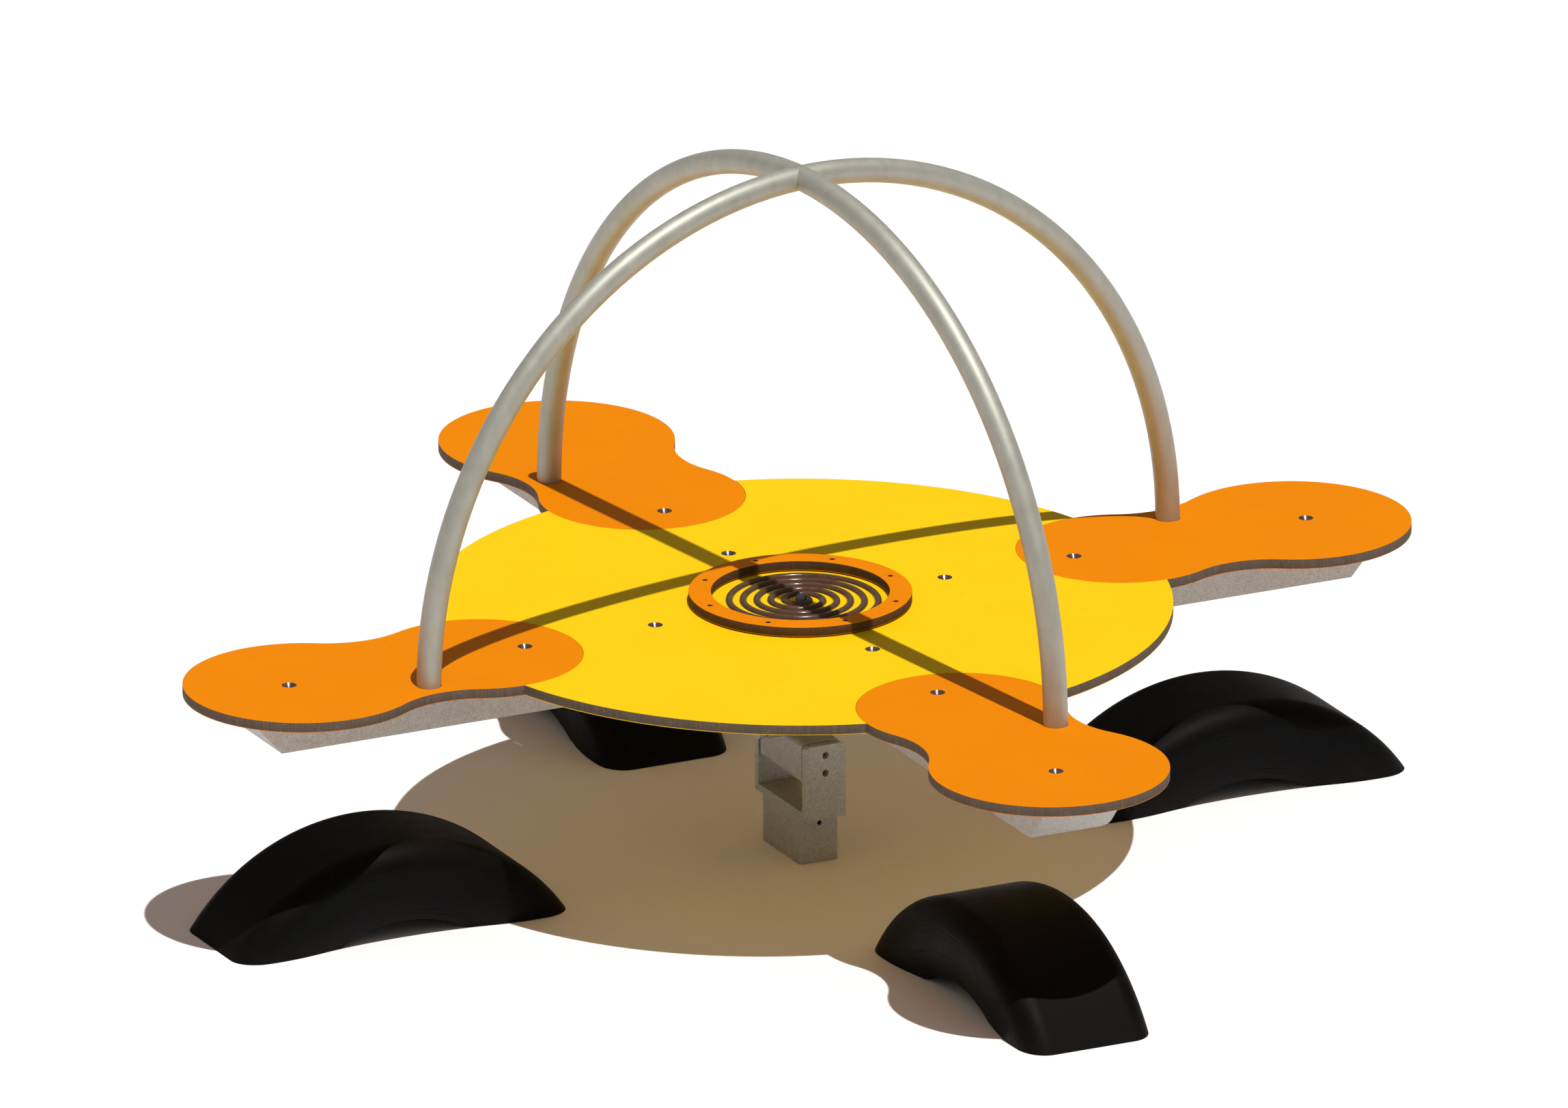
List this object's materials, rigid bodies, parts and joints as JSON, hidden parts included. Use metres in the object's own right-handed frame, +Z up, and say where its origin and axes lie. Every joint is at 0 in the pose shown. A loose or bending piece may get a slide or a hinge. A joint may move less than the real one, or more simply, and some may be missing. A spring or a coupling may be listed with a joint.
{
  "type": "merry go round",
  "caption": "Playground rocking roundabout: round deck with peanut-shaped seats on crossed beams, tube hoops, a ball maze, a two-axis rubber-sprung pivot and tyre bump stops.",
  "frame": {"origin": "on the ground under the middle of the post, at the centre of the four seats", "axes": "+Z up; X along the full arm beam, from the left seat to the right seat; -Y towards the front seat"},
  "size_m": [2.163, 2.163, 1.162],
  "materials": {
    "orange_board": "satin three-layer polyethylene board, orange skins on a brown-grey core",
    "yellow_board": "satin three-layer polyethylene board, yellow skins on a brown-grey core",
    "tube_steel": "satin stainless tube",
    "tyre": "smooth worn black rubber",
    "rubber": "black rubber",
    "maze_rod": "glossy dark brown-grey rod",
    "ball": "dark steel ball",
    "stainless": "turned steel",
    "fasteners": "dark zinc",
    "galvanised": "hot-dip galvanised steel, speckled"
  },
  "bodies": {
    "base": {"ground_post": "galvanised", "lower_fork": "galvanised", "lower_inner_bar": "galvanised", "lower_bar_screws": "fasteners", "tyre_left": "tyre", "tyre_front": "tyre", "tyre_right": "tyre", "tyre_back": "tyre"},
    "cross_block": {"lower_housing": "galvanised", "upper_housing": "galvanised", "lower_rubber_cords": "rubber", "upper_rubber_cords": "rubber"},
    "platform": {"arm_back": "galvanised", "arm_front": "galvanised", "arm_full": "galvanised", "board_bolt_cups": "stainless", "board_bolts": "fasteners", "board_nuts": "fasteners", "deck_disc": "yellow_board", "foot_bolts": "fasteners", "foot_lug_back": "galvanised", "foot_lug_front": "galvanised", "foot_lug_left": "galvanised", "foot_lug_right": "galvanised", "foot_plugs": "fasteners", "hoop_back": "tube_steel", "hoop_front": "tube_steel", "hoop_full": "tube_steel", "maze_gasket": "rubber", "maze_ring": "orange_board", "maze_spiral": "maze_rod", "ring_screws": "fasteners", "seat_back": "orange_board", "seat_front": "orange_board", "seat_left": "orange_board", "seat_right": "orange_board", "upper_bar_screws": "fasteners", "upper_fork": "galvanised", "upper_inner_bar": "galvanised"},
    "ball": {"maze_ball": "ball"}
  },
  "joints": [
    {"name": "rock_left_right", "type": "hinge", "parent": "base", "child": "cross_block", "pos_m": [0, 0, 0.173], "axis": [0, 1, 0], "range_deg": [-11, 11], "stiffness_Nm_per_rad": 1800, "deforming": ["lower_rubber_cords"]},
    {"name": "rock_front_back", "type": "hinge", "parent": "cross_block", "child": "platform", "pos_m": [0, 0, 0.243], "axis": [1, 0, 0], "range_deg": [-11, 11], "stiffness_Nm_per_rad": 1800, "deforming": ["upper_rubber_cords"]},
    {"name": "ball_roll", "type": "hinge", "parent": "platform", "child": "ball", "pos_m": [0, 0, 0.427], "axis": [1, 0, 0], "continuous": true}
  ]
}
